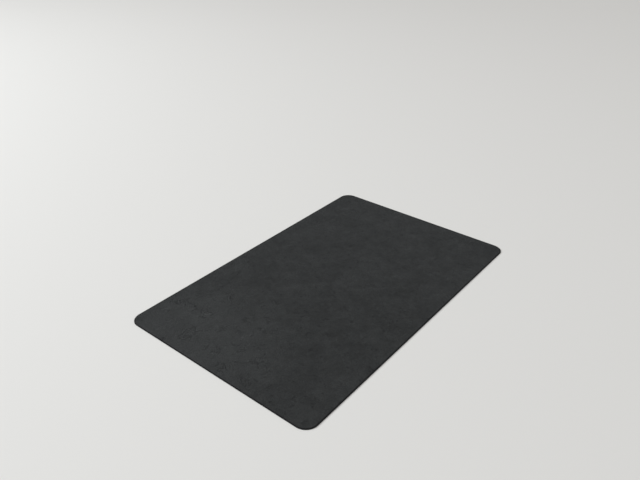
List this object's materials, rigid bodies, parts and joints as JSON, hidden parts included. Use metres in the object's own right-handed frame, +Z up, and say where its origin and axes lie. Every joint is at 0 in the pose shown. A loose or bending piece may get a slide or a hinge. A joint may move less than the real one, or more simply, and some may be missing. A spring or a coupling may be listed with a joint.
{
  "type": "chair mat",
  "caption": "Flat rectangular chair mat with rounded corners, a felt face and a ribbed rubber backing, for rolling a caster chair on a hard floor.",
  "frame": {"origin": "centre of the underside, on the plane of the floor that the mat lies on", "axes": "+X along the long side, +Y along the short side, +Z up through the felt face"},
  "size_m": [1.4, 0.9, 0.003],
  "materials": {
    "black_rubber": "matte moulded rubber with a fine pebble texture",
    "glass_fleece": "thin grey non-woven glass tissue, matte",
    "hot_melt_film": "smoky set adhesive film, satin",
    "charcoal_felt": "needle-punched polyester felt, charcoal, matte with faint mottling"
  },
  "bodies": {
    "root": {"rubber_backing": "black_rubber", "stabilising_fleece": "glass_fleece", "bonding_film": "hot_melt_film", "felt_face": "charcoal_felt"}
  },
  "joints": []
}
